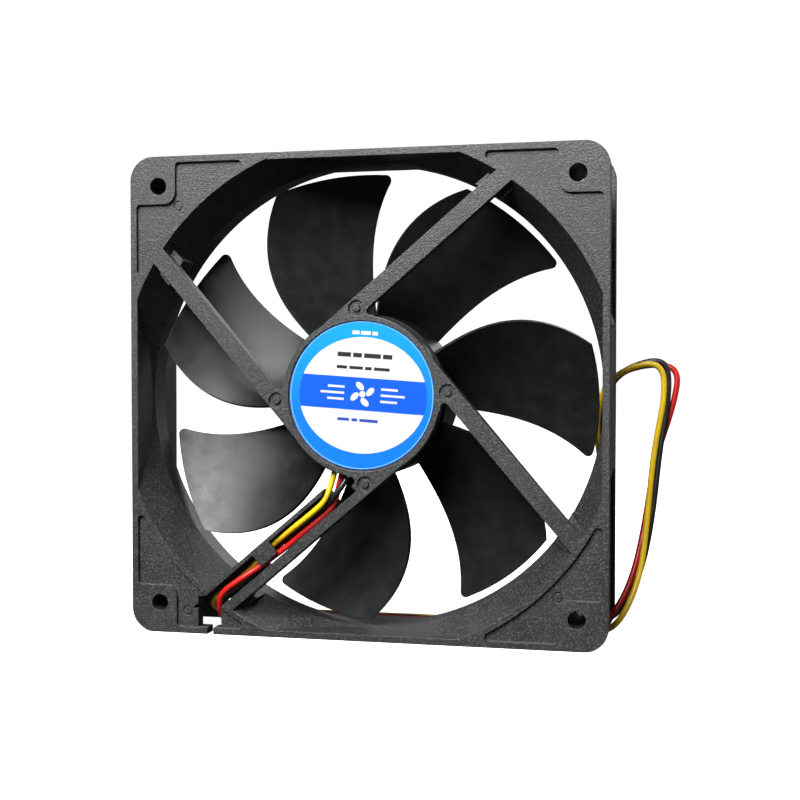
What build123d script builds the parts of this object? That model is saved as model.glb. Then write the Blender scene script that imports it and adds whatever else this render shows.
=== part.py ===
from build123d import *
import math
import os

# ---------------------------------------------------------------------------
# 120 mm axial case fan, sleeve bearing, three leads.  Millimetres.
# The moulding is drawn face up: X right, Y up the fan, Z out of the strut side.
# stand_up() then stands it on its lower edge: strut side to -Y, up to +Z.
# ---------------------------------------------------------------------------

# frame
FRAME_SIZE = 120.0
FRAME_DEPTH = 25.0
CORNER_RADIUS = 6.0
FLANGE_THICKNESS = 4.0
HOLE_SPACING = 105.0
HOLE_DIAMETER = 4.3
SCREW_TUBE_RADIUS = 3.5     # tube round each screw hole, from flange to flange
SIDE_WALL = 1.7            # duct wall at the middle of each side
THROAT_WALL = 2.0          # frame edge to throat, at the middle of each side
RING_OVERHANG = 2.5        # ring outside radius past the frame's half width
FLARE = 5.2                # how far each mouth opens past the throat, in radius
FRONT_FLARE_DEPTH = 10.0
REAR_FLARE_DEPTH = 8.5

# corner panels of the strut-side flange
PANEL_DEPTH = 0.8
PANEL_BORDER = 1.6
PANEL_LIP = 1.3            # rim left between the duct mouth and a panel
ISLAND_SIZE = 12.0         # square left round each screw hole, from the corner
ISLAND_ROUND = 3.0
PANEL_ROUND = 1.0
EJECTOR_MARK = 2.6
EJECTOR_RING = 0.4
EJECTOR_DEPTH = 0.25
EJECTOR_PLACES = ((-12.6, 12.5), (12.0, -12.6), (-14.7, -5.6))     # from the nearest corner

# struts
STRUT_ANGLE = 40.4         # direction of the first strut
STRUT_WIDTH = 4.2
STRUT_DEPTH = 2.8
STRUT_FOOT_EXTRA = 1.4     # the foot under each strut end is wider by this, each side
STRUT_BITE = 0.5           # how far a strut or foot runs into the duct's wall
WEB_REACH = 2.6            # web between strut and motor base, past the base's edge
WEB_WIDTH = 3.4
WEB_RELIEF = 1.05
GATE_DIAMETER = 3.9
GATE_DEPTH = 0.5
GATE_SHIFT = 0.25          # gate marks lie this far inside the strut's middle line
GATE_RADIUS_EXTRA = 1.7    # gate marks lie this far outside the motor base

# lead channel along the lower left strut
CHANNEL_WIDTH = 4.6
CHANNEL_DEPTH = 4.7
CHANNEL_WALL = 1.0
CHANNEL_FLOOR = 1.0
CHANNEL_START = 22.0
CHANNEL_TIP = 1.5          # the outer wall's end slants back by this
CHANNEL_RAIL = 2.5         # what the channel leaves of its strut's width
HOOK_START = 41.5
HOOK_LENGTH = 5.5
HOOK_REACH = 3.5
HOOK_THICKNESS = 1.0
HOOK_ROUND = 0.9
HOOK_WINDOW = (1.2, 0.6)   # the floor's window starts before the hook and ends short of it
NOTCH_LEFT = 17.5          # from the frame's left edge
NOTCH_RIGHT = 23.6
NOTCH_TOP = 9.4            # from the frame's lower edge
NOTCH_RIM = 1.7
NOTCH_SLIT = 1.6
SLIT_SHIFT = 0.4
PASSAGE_RISE = 4.6         # the channel meets the notch this far above the rim
PASSAGE_PAST = 6.0
# low notches in the rear flange: corner side, nearer edge, farther edge, height
REAR_NOTCHES = ((-1, 16.5, 25.5, 5.6), (1, 4.0, 16.0, 4.2))

# motor base and bearing
BASE_RADIUS = 19.8
BASE_THICKNESS = 2.2
BASE_SKIRT_WALL = 1.2
BASE_SKIRT_DEPTH = 2.0
LABEL_RADIUS = 18.1
LABEL_RECESS = 0.4
LABEL_CLEARANCE = 0.35
LABEL_THICKNESS = 0.15
TUBE_RADIUS = 4.5
TUBE_END_GAP = 6.0         # rear end of the bearing tube, from the hub's rear face
BEARING_RADIUS = 3.0
BEARING_SINK = 6.0         # front end of the bush, below the frame's front face
SEAL_THICKNESS = 1.0
WASHER_THICKNESS = 0.4
BASE_BEVEL = 0.25
PLUG_THICKNESS = 1.5
PLUG_WALL = 1.2
PLUG_SKIN = 0.6
LABEL_OFFSET = (0.1, 0.25)     # the label sits a little off centre

# rotor
SHAFT_RADIUS = 1.5
SHAFT_CLEARANCE = 0.05
RUNNING_GAP = 0.3
SHAFT_SINK = 3.5           # shaft end below the frame's front face
GROOVE_DEPTH = 0.4
GROOVE_WIDTH = 0.5
CLIP_OPENING = 1.6
HUB_RADIUS = 20.3
HUB_SINK = 5.0             # hub's front edge below the frame's front face
HUB_REAR_SINK = 1.0        # hub's rear face inside the frame's rear face
HUB_WALL = 1.5
HUB_ROUND = 2.0
TIP_CLEARANCE = 1.5
BLADE_COUNT = 7
BLADE_EDGE = 0.95          # thickness at the trailing edge
BLADE_MIDDLE = 1.7
BLADE_NOSE = 1.2
BLADE_CAMBER = 1.7
BLADE_RISE = 0.4           # blades stay this far above the hub's rear face
TIP_CORNER_ROUND = 1.4
BLADE_ANGLE = 108.0        # direction the blade's sections are drawn across
BLADE_SECTIONS = 7
SECTION_START = 0.72       # first section, as a share of the hub's radius
SECTION_PAST = 1.5         # last section, past the tip
# blade edges from root to tip: angle in degrees, depth below the hub's front edge
# for the trailing edge and height above its rear face for the leading edge
TRAILING_ANGLES = (135.0, 131.2, 115.7)
TRAILING_DEPTHS = (2.6, 4.5, 5.1)
LEADING_ANGLES = (94.5, 93.2, 86.2)
LEADING_RISES = (1.9, 2.3, 3.1)
YOKE_WALL = 1.0
YOKE_SINK = 1.5            # yoke's front edge below the hub's
MAGNET_WALL = 2.2
MAGNET_SINK = 2.0
MAGNET_RISE = 3.0          # magnet's rear end above the yoke's floor
BOSS_RADIUS = 3.5
BOSS_LENGTH = 3.6
BOSS_BEVEL = 0.4

# stator
AIR_GAP = 0.8
CORE_SINK = 2.5            # core's front face below the magnet's
CORE_RISE = 3.5            # core's rear face above the magnet's
CORE_HUB_WALL = 2.5
POLE_COUNT = 4
POLE_START = 45.0          # direction of the first pole
POLE_WIDTH = 4.0
POLE_SHOE = 1.8
POLE_SPAN = 72.0
BOBBIN_EXTRA = 1.0         # the insulators are wider than the poles by this
BOBBIN_SPAN = 66.0
BOBBIN_PLATE = 0.9
BOBBIN_RIM = 1.6
BOBBIN_RIM_WALL = 1.0
BOBBIN_RIM_SPAN = 46.0
BOBBIN_INSET = 0.3         # the insulators stop this short of the core's face
COIL_WIDTH = 2.0
COIL_CLEARANCE = 0.15
COIL_ROUND = 1.1
COIL_HUB_GAP = 0.6
COIL_SHOE_GAP = 0.5
COIL_RIM_GAP = 0.3
COIL_GAP = 0.4             # wedge-shaped gap between neighbouring windings

# circuit board
BOARD_EDGE_GAP = 1.8       # board's edge inside the steel cup's outside
BOARD_THICKNESS = 1.0
BOARD_SINK = 1.0           # board's front face below the motor base
BOARD_NOTCH_WIDTH = 7.4
BOARD_NOTCH_DEPTH = 3.8
LEAD_ANGLE = 254.0
LEAD_SIDE_GAP = 0.2
PIN_RADIUS = 0.35
PIN_FIT = 0.1
PIN_SOLDER = 0.5           # the pins stand out of the board by this
PIN_INSET = 3.4            # pins inside the core's edge
PIN_ANGLES = (0, 90, 180)
PIN_FOOT_WIDTH = 2.0
PIN_FOOT_PAST = 1.0        # the foot runs past its pin by this
PIN_FOOT_BITE = 0.6        # and into the hub ring by this
BEAD_LENGTH = 1.3
BEAD_WIDTH = 1.4
BEAD_HEIGHT = 0.7

# components on the rotor side of the board: length, width and height,
# distance inside the board's edge and direction
HALL_BODY = (1.6, 4.0, 2.0)
HALL_INSET = 1.6
HALL_ANGLE = 45
HALL_LEG = (1.2, 0.4, 0.5)
HALL_LEG_PITCH = 1.27
CHIP_BODY = (4.0, 5.0, 1.5)
CHIP_INSET = 6.4
CHIP_ANGLE = 315
CHIP_LEG = (1.2, 0.45, 0.6)
CHIP_LEG_REACH = 2.5
CHIP_LEG_PITCH = 1.265
CAPACITOR_BODY = (3.2, 1.6, 1.4)
CAPACITOR_ANGLE = 205
RESISTOR_BODY = (2.0, 1.25, 0.6)
RESISTOR_ANGLES = (120, 138, 156)
DIODE_BODY = (4.2, 2.4, 1.6)
DIODE_ANGLE = 282
SMALL_PART_INSET = 3.4

# leads
LEAD_DIAMETER = 1.5
LEAD_BEND_SHARE = 0.45

# plug on the far end of the leads, lying on the floor behind the fan
PLUG_PITCH = 2.54
PLUG_SIZE = (13.0, 7.7, 4.9)
PLUG_REAR = 40.0
PLUG_DISTANCE = 12.5       # plug's middle line behind the frame
PLUG_BEVEL = 0.3
CAVITY = 2.0
WINDOW = (4.2, 6.4, 1.1)   # catch window: from, to and width
RIB = (1.0, 3.0, 1.0, 0.7)     # from the mouth, from the rear, width and height
RIB_INSET = 1.3
TERMINAL = 1.6
TERMINAL_BORE = 0.9
TERMINAL_START = 0.6
TERMINAL_FLOOR = 4.0
LEAD_INSERTION = 2.0

# routes of the leads, standing frame, from the circuit board to the plug; drawn for a frame
# of the first depth, and past the reach they keep their distance from its nearer face
ROUTE_DEPTH = 25.0
FACE_REACH = 8.6
YELLOW_ROUTE = [
    (-5.6, -9.4, 47.7), (-7.4, -9.3, 41.2), (-9.0, -11.4, 34.3), (-13.1, -11.4, 30.7),
    (-18.6, -11.4, 26.4), (-24.2, -10.1, 22.1), (-29.0, -8.8, 16.9), (-34.5, -8.6, 12.3),
    (-39.9, -8.7, 8.1), (-41.7, -2.4, 5.0), (-41.8, 4.6, 2.8), (-41.3, 11.6, 1.3),
    (-37.9, 18.1, 0.9), (-29.0, 19.2, 0.85), (-14.0, 18.8, 0.85), (4.0, 19.1, 0.85),
    (22.0, 18.8, 0.85), (37.0, 19.4, 0.85), (48.0, 17.6, 0.9), (52.9, 11.0, 0.95),
    (56.4, 5.0, 0.95), (61.9, 3.8, 4.3), (66.5, 8.0, 15.2), (68.0, 11.2, 30.0),
    (69.3, 13.4, 46.0), (72.2, 14.7, 60.6), (71.0, 15.2, 68.6), (62.0, 15.2, 66.9),
    (56.0, 14.9, 61.2), (54.8, 14.9, 51.0), (56.4, 14.8, 40.4), (54.8, 15.2, 28.6),
    (50.6, 17.0, 15.8), (48.6, 20.4, 5.4), (43.6, 22.4, 2.5), (38.0, 22.46, 2.45),
]
RED_ROUTE = [
    (-3.7, -9.4, 47.1), (-4.6, -9.2, 43.6), (-6.0, -8.8, 39.9), (-7.5, -8.6, 33.4),
    (-9.8, -9.2, 30.6), (-14.8, -9.8, 26.5), (-20.1, -9.8, 22.0), (-26.2, -10.2, 17.4),
    (-32.0, -11.9, 13.6), (-36.9, -11.9, 9.9), (-37.6, -9.0, 4.0), (-37.8, -2.6, 2.2),
    (-38.0, 4.2, 1.3), (-37.6, 10.8, 1.0), (-33.6, 15.2, 0.85), (-24.5, 15.4, 0.85),
    (-9.0, 15.2, 0.85), (9.0, 15.5, 0.85), (26.0, 15.3, 0.85), (38.5, 15.8, 0.85),
    (46.4, 13.9, 0.9), (50.4, 8.2, 0.95), (54.6, 4.0, 2.4), (59.6, 4.6, 5.2),
    (64.2, 8.4, 13.6), (67.0, 13.4, 26.0), (69.2, 16.6, 42.4), (74.4, 17.3, 58.4),
    (75.4, 18.4, 67.2), (67.6, 18.8, 67.9), (59.8, 18.6, 65.4), (56.6, 18.5, 58.0),
    (56.4, 18.5, 49.0), (57.8, 18.6, 39.6), (56.8, 19.2, 28.4), (53.6, 21.6, 16.0),
    (50.8, 25.6, 6.4), (44.4, 27.4, 2.6), (38.0, 27.54, 2.45),
]
BLACK_ROUTE = [
    (-1.8, -9.4, 46.6), (-2.6, -9.3, 43.3), (-4.3, -9.1, 39.9), (-5.8, -10.6, 36.9),
    (-9.4, -9.7, 33.0), (-14.0, -9.6, 29.4), (-19.4, -9.4, 25.0), (-24.1, -8.55, 20.5),
    (-28.6, -8.6, 14.8), (-32.6, -8.6, 11.3), (-37.9, -8.8, 7.5), (-39.6, -2.2, 4.6),
    (-39.8, 4.6, 2.6), (-39.5, 11.2, 1.4), (-36.0, 16.5, 0.9), (-27.0, 17.3, 0.85),
    (-12.0, 17.0, 0.85), (6.0, 17.3, 0.85), (24.0, 17.05, 0.85), (38.0, 17.3, 0.85),
    (46.6, 16.2, 0.9), (50.6, 11.4, 1.2), (53.2, 8.3, 2.9), (57.4, 7.0, 3.6),
    (61.6, 7.2, 6.4), (66.5, 10.4, 15.4), (69.2, 12.6, 29.6), (70.8, 14.4, 46.6),
    (73.2, 16.3, 61.4), (72.2, 16.8, 69.6), (62.6, 16.8, 67.2), (57.2, 16.7, 62.0),
    (55.2, 16.7, 52.0), (57.0, 16.7, 40.8), (55.8, 17.2, 28.6), (52.2, 19.4, 16.0),
    (49.6, 23.0, 6.0), (44.0, 24.9, 2.5), (38.0, 25.0, 2.45),
]

# derived sizes
HALF = FRAME_SIZE / 2
FRONT = FRAME_DEPTH / 2
REAR = -FRAME_DEPTH / 2
THROAT_RADIUS = HALF - THROAT_WALL
FLAT = HALF - SIDE_WALL
MOUTH_RADIUS = THROAT_RADIUS + FLARE
RING_RADIUS = HALF + RING_OVERHANG
HOLE_PLACE = HOLE_SPACING / 2
TIP_RADIUS = THROAT_RADIUS - TIP_CLEARANCE
STRUT_OUTER = BASE_RADIUS - 0.4
STRUT_INNER = STRUT_OUTER - STRUT_WIDTH
GATE_PLACE = BASE_RADIUS + GATE_RADIUS_EXTRA
BASE_REAR = FRONT - BASE_THICKNESS
HUB_FRONT = FRONT - HUB_SINK
HUB_REAR = REAR + HUB_REAR_SINK
YOKE_RADIUS = HUB_RADIUS - HUB_WALL
YOKE_END = HUB_REAR + HUB_WALL
YOKE_FRONT = HUB_FRONT - YOKE_SINK
MAGNET_RADIUS = YOKE_RADIUS - YOKE_WALL
MAGNET_FRONT = HUB_FRONT - MAGNET_SINK
MAGNET_REAR = YOKE_END + MAGNET_RISE
CORE_RADIUS = MAGNET_RADIUS - MAGNET_WALL - AIR_GAP
CORE_FRONT = MAGNET_FRONT - CORE_SINK
CORE_REAR = MAGNET_REAR + CORE_RISE
TUBE_END = HUB_REAR + TUBE_END_GAP
BEARING_FRONT = FRONT - BEARING_SINK
BEARING_REAR = TUBE_END + SEAL_THICKNESS
SHAFT_FRONT = FRONT - SHAFT_SINK
GROOVE_REAR = BEARING_FRONT + WASHER_THICKNESS + RUNNING_GAP
BOARD_FRONT = BASE_REAR - BOARD_SINK
BOARD_REAR = BOARD_FRONT - BOARD_THICKNESS
BOARD_RADIUS = YOKE_RADIUS - BOARD_EDGE_GAP
BOARD_NOTCH_REACH = BOARD_RADIUS - BOARD_NOTCH_DEPTH
PIN_PLACES = [(CORE_RADIUS - PIN_INSET, angle) for angle in PIN_ANGLES]
PLUG_MIDDLE_Y = FRONT + PLUG_DISTANCE
TRAILING_HEIGHTS = [HUB_FRONT - depth for depth in TRAILING_DEPTHS]
LEADING_HEIGHTS = [HUB_REAR + rise for rise in LEADING_RISES]


def stand_up(shape):
    """Turn the face-up model to stand on its lower edge."""
    return Pos(0, 0, HALF) * Rot(90, 0, 0) * shape


def turned(shape, angle):
    return Rot(0, 0, angle) * shape


def disc(radius, bottom, top):
    """Solid cylinder between two heights."""
    return Pos(0, 0, (bottom + top) / 2) * Cylinder(radius, top - bottom)


def ring(outer, inner, bottom, top):
    return disc(outer, bottom, top) - disc(inner, bottom - 1, top + 1)


def block(x0, x1, y0, y1, z0, z1):
    """Box between two corners."""
    middle = Pos((x0 + x1) / 2, (y0 + y1) / 2, (z0 + z1) / 2)
    return middle * Box(x1 - x0, y1 - y0, z1 - z0)


def plate(size, radius, bottom, top):
    """Square plate with rounded corners."""
    outline = RectangleRounded(size, size, radius)
    return Pos(0, 0, bottom) * extrude(outline, top - bottom)


def cone(radius_bottom, radius_top, bottom, top):
    return Pos(0, 0, (bottom + top) / 2) * Cone(radius_bottom, radius_top, top - bottom)


# --- frame ------------------------------------------------------------------

def duct_opening():
    """The air's way: throat with a flared mouth each side, cut flat at the sides."""
    ridge_front = FRONT - FRONT_FLARE_DEPTH
    ridge_rear = REAR + REAR_FLARE_DEPTH
    past = 1.0
    front_slope = FLARE / FRONT_FLARE_DEPTH
    rear_slope = FLARE / REAR_FLARE_DEPTH
    opening = disc(THROAT_RADIUS, REAR - past, FRONT + past)
    opening += cone(THROAT_RADIUS, MOUTH_RADIUS + front_slope * past, ridge_front, FRONT + past)
    opening += cone(MOUTH_RADIUS + rear_slope * past, THROAT_RADIUS, REAR - past, ridge_rear)
    return opening & Box(2 * FLAT, 2 * FLAT, FRAME_DEPTH + 4 * past)


def corner_panel():
    """Sunk panel of the top left corner, round the island of the screw hole."""
    edge = HALF - PANEL_BORDER
    outline = Pos(-edge / 2, edge / 2) * Rectangle(edge, edge)
    outline -= Circle(MOUTH_RADIUS + PANEL_LIP)
    island = Pos(-HALF, HALF) * RectangleRounded(2 * ISLAND_SIZE, 2 * ISLAND_SIZE, ISLAND_ROUND)
    outline = offset(outline - island, -PANEL_ROUND, kind=Kind.INTERSECTION)
    outline = offset(outline, PANEL_ROUND, kind=Kind.ARC)
    return Pos(0, 0, FRONT - PANEL_DEPTH) * extrude(outline, PANEL_DEPTH + 1)


def flanges():
    front = plate(FRAME_SIZE, CORNER_RADIUS, FRONT - FLANGE_THICKNESS, FRONT)
    rear = plate(FRAME_SIZE, CORNER_RADIUS, REAR, REAR + FLANGE_THICKNESS)
    wall = disc(RING_RADIUS, REAR + 1, FRONT - 1) & Box(FRAME_SIZE, FRAME_SIZE, FRAME_DEPTH)
    shell = front + rear + wall
    for side in range(4):
        shell -= turned(corner_panel(), 90 * side)
    return shell


def screw_tubes():
    tube = disc(SCREW_TUBE_RADIUS, REAR + 1, FRONT - 1)
    places = [(x, y) for x in (-HOLE_PLACE, HOLE_PLACE) for y in (-HOLE_PLACE, HOLE_PLACE)]
    return [Pos(x, y, 0) * tube for x, y in places]


def screw_holes():
    hole = disc(HOLE_DIAMETER / 2, REAR - 1, FRONT + 1)
    places = [(x, y) for x in (-HOLE_PLACE, HOLE_PLACE) for y in (-HOLE_PLACE, HOLE_PLACE)]
    return [Pos(x, y, 0) * hole for x, y in places]


def strut(outer):
    """One strut along +X, its outer edge level with the motor base."""
    reach = MOUTH_RADIUS
    bar = block(0, reach, STRUT_INNER, outer, FRONT - STRUT_DEPTH, FRONT)
    return bar & disc(MOUTH_RADIUS + STRUT_BITE, REAR, FRONT + 1)


def strut_foot():
    """Wider block under a strut's end, filling the flare there."""
    low = FRONT - FRONT_FLARE_DEPTH
    foot = block(THROAT_RADIUS - 10, HALF + 6, STRUT_INNER - STRUT_FOOT_EXTRA,
                 STRUT_OUTER + STRUT_FOOT_EXTRA, low, FRONT - STRUT_DEPTH)
    return foot & ring(RING_RADIUS - STRUT_BITE, THROAT_RADIUS, low, FRONT)


def strut_web():
    """Web joining strut and motor base round the gate mark."""
    start = math.sqrt(BASE_RADIUS ** 2 - STRUT_INNER ** 2)
    end = start + WEB_REACH
    web = block(0, end, STRUT_INNER - WEB_WIDTH, STRUT_INNER + 1, FRONT - STRUT_DEPTH, FRONT)
    relief = Pos(end + 0.1, STRUT_INNER - WEB_RELIEF, FRONT - STRUT_DEPTH / 2)
    return web - relief * Cylinder(1.0, STRUT_DEPTH + 1)


def gate_cut():
    """Round sink with a rough nub left by the moulding gate."""
    across = (STRUT_INNER + STRUT_OUTER) / 2 - GATE_SHIFT
    along = math.sqrt(GATE_PLACE ** 2 - across ** 2)
    sink = Pos(along, across, 0) * disc(GATE_DIAMETER / 2, FRONT - GATE_DEPTH, FRONT + 1)
    nub = Pos(along, across, FRONT - GATE_DEPTH) * Sphere(GATE_DIAMETER / 4)
    return sink - nub


def motor_base():
    """Base disc, its skirt and the bearing tube, open at the label side."""
    skirt_rear = BASE_REAR - BASE_SKIRT_DEPTH
    base = disc(BASE_RADIUS, BASE_REAR, FRONT)
    base = chamfer(base.edges().group_by(Axis.Z)[-1], BASE_BEVEL)
    base += ring(BASE_RADIUS, BASE_RADIUS - BASE_SKIRT_WALL, skirt_rear, BASE_REAR + 0.5)
    base += disc(TUBE_RADIUS, TUBE_END, BASE_REAR + 0.5)
    return base


def motor_base_cuts():
    label = disc(LABEL_RADIUS + LABEL_CLEARANCE, FRONT - LABEL_RECESS, FRONT + 1)
    bore = disc(BEARING_RADIUS, TUBE_END - 1, FRONT)
    skirt_rear = BASE_REAR - BASE_SKIRT_DEPTH
    gap = block(BASE_RADIUS - 4, BASE_RADIUS + 2, -BOARD_NOTCH_WIDTH / 2,
                BOARD_NOTCH_WIDTH / 2, skirt_rear - 1, BASE_REAR)
    return [label, bore, turned(gap, LEAD_ANGLE)]


def channel_edges():
    """Across-strut places of the channel's side walls and its outer face."""
    right = STRUT_OUTER - CHANNEL_RAIL
    left = right - CHANNEL_WIDTH
    return left, right, left - CHANNEL_WALL


def lead_channel():
    """Trough for the leads beside the lower left strut, along +X before turning."""
    left, right, outside = channel_edges()
    depth = CHANNEL_DEPTH + CHANNEL_FLOOR
    end = MOUTH_RADIUS + 2
    trough = block(CHANNEL_START, end, outside, STRUT_OUTER, FRONT - depth, FRONT)
    trough -= block(CHANNEL_START - 1, end + 1, left, right, FRONT - CHANNEL_DEPTH, FRONT + 1)
    slant = make_face(Polyline([(CHANNEL_START, outside), (CHANNEL_START + CHANNEL_TIP, left),
                                (CHANNEL_START, left), (CHANNEL_START, outside)]))
    trough -= Pos(0, 0, FRONT - CHANNEL_DEPTH) * extrude(slant, depth)
    hook = block(HOOK_START, HOOK_START + HOOK_LENGTH, outside, left + HOOK_REACH,
                 FRONT - HOOK_THICKNESS, FRONT)
    hook_side = hook.edges().filter_by(Axis.Z).sort_by(Axis.Y)[-2:]
    hook = fillet(hook_side, HOOK_ROUND)
    before, short = HOOK_WINDOW
    window = block(HOOK_START - before, HOOK_START + HOOK_LENGTH - short, left, right,
                   FRONT - depth - 1, FRONT - CHANNEL_DEPTH + 0.1)
    trough += hook
    trough -= window
    return trough & disc(RING_RADIUS, REAR, FRONT + 1)


def corner_notch():
    """Where the channel runs through the strut-side flange into the corner."""
    left, right, _ = channel_edges()
    rim = -HALF + NOTCH_RIM
    start, end = NOTCH_LEFT - HALF, NOTCH_RIGHT - HALF
    hole = block(start, end, rim, NOTCH_TOP - HALF, FRONT - FLANGE_THICKNESS - 1, FRONT + 1)
    passage = block(HALF - 6, MOUTH_RADIUS + 9, left, right, FRONT - CHANNEL_DEPTH, FRONT + 1)
    passage = turned(passage, STRUT_ANGLE + 180)
    passage &= block(-HALF, end + PASSAGE_PAST, rim + PASSAGE_RISE, 0, REAR, FRONT + 2)
    slit_centre = (start + end) / 2 + SLIT_SHIFT
    slit = block(slit_centre - NOTCH_SLIT / 2, slit_centre + NOTCH_SLIT / 2, -HALF - 1,
                 rim + 0.5, FRONT - FLANGE_THICKNESS - 1, FRONT + 1)
    return [hole, passage, slit]


def rear_notches():
    """Low notches that let the leads pass the rear flange at both lower corners."""
    inside = REAR + FLANGE_THICKNESS + 0.1
    notches = []
    for side, near, far, height in REAR_NOTCHES:
        left, right = sorted((side * (HALF - near), side * (HALF - far)))
        notches.append(block(left, right, -HALF - 1, -HALF + height, REAR - 1, inside))
    return notches


def ejector_places():
    top_left, bottom_right, bottom_left = EJECTOR_PLACES
    return [(-HALF - top_left[0], HALF - top_left[1]),
            (HALF - bottom_right[0], -HALF - bottom_right[1]),
            (-HALF - bottom_left[0], -HALF - bottom_left[1])]


def ejector_marks():
    """Shallow round marks in the corner panels."""
    floor = FRONT - PANEL_DEPTH
    outer = EJECTOR_MARK / 2
    mark = ring(outer, outer - EJECTOR_RING, floor - EJECTOR_DEPTH, floor + 1)
    return [Pos(x, y, 0) * mark for x, y in ejector_places()]


def build_frame():
    body = flanges()
    for tube in screw_tubes():
        body += tube
    for hole in screw_holes():
        body -= hole
    body -= duct_opening()
    body += motor_base()
    for side in range(4):
        angle = STRUT_ANGLE + 90 * side
        body += turned(strut(STRUT_OUTER) + strut_foot() + strut_web(), angle)
    channel_angle = STRUT_ANGLE + 180
    left, right, _ = channel_edges()
    clear = block(CHANNEL_START - 6, HALF + 8, left, right, FRONT - CHANNEL_DEPTH, FRONT + 1)
    body -= turned(clear & disc(MOUTH_RADIUS + 1, REAR, FRONT + 2), channel_angle)
    body += turned(lead_channel(), channel_angle)
    for cut in corner_notch() + rear_notches() + motor_base_cuts() + ejector_marks():
        body -= cut
    for side in range(4):
        body -= turned(gate_cut(), STRUT_ANGLE + 90 * side)
    return body


# --- motor, standing parts ----------------------------------------------------

def build_sleeve_bearing():
    bore = SHAFT_RADIUS + SHAFT_CLEARANCE
    bush = ring(BEARING_RADIUS, bore, BEARING_REAR, BEARING_FRONT)
    ends = bush.edges().filter_by(GeomType.CIRCLE).sort_by(SortBy.RADIUS)[-2:]
    return chamfer(ends, 0.2)


def build_oil_seal():
    """Felt ring that keeps the oil in, between the bush and the tube's rear end."""
    return ring(BEARING_RADIUS, SHAFT_RADIUS + RUNNING_GAP, TUBE_END, BEARING_REAR)


def build_thrust_washer():
    inner = SHAFT_RADIUS + RUNNING_GAP
    return ring(BEARING_RADIUS - 0.1, inner, BEARING_FRONT, BEARING_FRONT + WASHER_THICKNESS)


def build_bearing_plug():
    """Plug that closes the bearing under the label."""
    front = FRONT - LABEL_RECESS
    plug = disc(BEARING_RADIUS, front - PLUG_THICKNESS, front)
    return plug - disc(BEARING_RADIUS - PLUG_WALL, front - PLUG_THICKNESS - 1, front - PLUG_SKIN)


def build_label():
    low = FRONT - LABEL_RECESS
    return Pos(*LABEL_OFFSET, 0) * disc(LABEL_RADIUS, low, low + LABEL_THICKNESS)


def pole(width, length, low, high):
    """Radial arm of one stator pole along +X."""
    return block(TUBE_RADIUS + 1, length, -width / 2, width / 2, low, high)


def pole_shoe(outer, thickness, span, low, high):
    wedge = Pos(0, 0, low) * extrude(
        make_face(Polyline([(0, 0), *arc_corners(outer + 5, span), (0, 0)])), high - low)
    return ring(outer, outer - thickness, low, high) & wedge


def arc_corners(radius, span):
    half = math.radians(span / 2)
    return [(radius * math.cos(half), -radius * math.sin(half)),
            (radius * math.cos(half), radius * math.sin(half))]


def star(outer, width, shoe, span, low, high):
    """Hub ring with four poles, as the core and its two insulators share."""
    shape = ring(TUBE_RADIUS + CORE_HUB_WALL, TUBE_RADIUS, low, high)
    arm = pole(width, outer - shoe / 2, low, high) + pole_shoe(outer, shoe, span, low, high)
    for index in range(POLE_COUNT):
        shape += turned(arm, POLE_START + 360 / POLE_COUNT * index)
    return shape


def build_stator_core():
    return star(CORE_RADIUS, POLE_WIDTH, POLE_SHOE, POLE_SPAN, CORE_REAR, CORE_FRONT)


def build_bobbin(face, sign):
    """Insulator on one face of the core, with a rim that holds the winding."""
    low, high = sorted((face, face + sign * BOBBIN_PLATE))
    reach = CORE_RADIUS - BOBBIN_INSET
    plate_part = star(reach, POLE_WIDTH + BOBBIN_EXTRA, POLE_SHOE, BOBBIN_SPAN, low, high)
    rim_low, rim_high = sorted((face, face + sign * (BOBBIN_PLATE + BOBBIN_RIM)))
    rim = pole_shoe(reach, BOBBIN_RIM_WALL, BOBBIN_RIM_SPAN, rim_low, rim_high)
    for index in range(POLE_COUNT):
        plate_part += turned(rim, POLE_START + 360 / POLE_COUNT * index)
    return plate_part


def winding_room():
    """Wedge that one winding may fill, up to its neighbours and the pole shoe."""
    half = math.radians(180 / POLE_COUNT)
    reach = 2 * CORE_RADIUS
    depth = FRAME_DEPTH
    outline = Polyline([(COIL_GAP, 0), (reach * math.cos(half), reach * math.sin(half)),
                        (reach * math.cos(half), -reach * math.sin(half)), (COIL_GAP, 0)])
    wedge = Pos(0, 0, -depth) * extrude(make_face(outline), 2 * depth)
    return wedge & disc(CORE_RADIUS - BOBBIN_INSET - POLE_SHOE - COIL_CLEARANCE, -depth, depth)


def build_coils():
    """One winding round each pole, over both insulators."""
    inner = POLE_WIDTH + BOBBIN_EXTRA + 2 * COIL_CLEARANCE
    low = CORE_REAR - BOBBIN_PLATE - COIL_CLEARANCE
    high = CORE_FRONT + BOBBIN_PLATE + COIL_CLEARANCE
    start = TUBE_RADIUS + CORE_HUB_WALL + COIL_HUB_GAP
    end = CORE_RADIUS - POLE_SHOE - COIL_SHOE_GAP
    build_up = BOBBIN_RIM - COIL_RIM_GAP
    wound = block(start, end, -inner / 2 - COIL_WIDTH, inner / 2 + COIL_WIDTH,
                  low - build_up, high + build_up)
    corners = fillet(wound.edges().filter_by(Axis.X), COIL_ROUND)
    coil = corners - block(start - 1, end + 1, -inner / 2, inner / 2, low, high)
    coil &= winding_room()
    step = 360 / POLE_COUNT
    return [turned(coil, POLE_START + step * index) for index in range(POLE_COUNT)]


# --- circuit board ------------------------------------------------------------

def around(shape, radius, angle):
    """Put a shape drawn at the centre out at a radius and an angle."""
    return Rot(0, 0, angle) * Pos(radius, 0, 0) * shape


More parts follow.
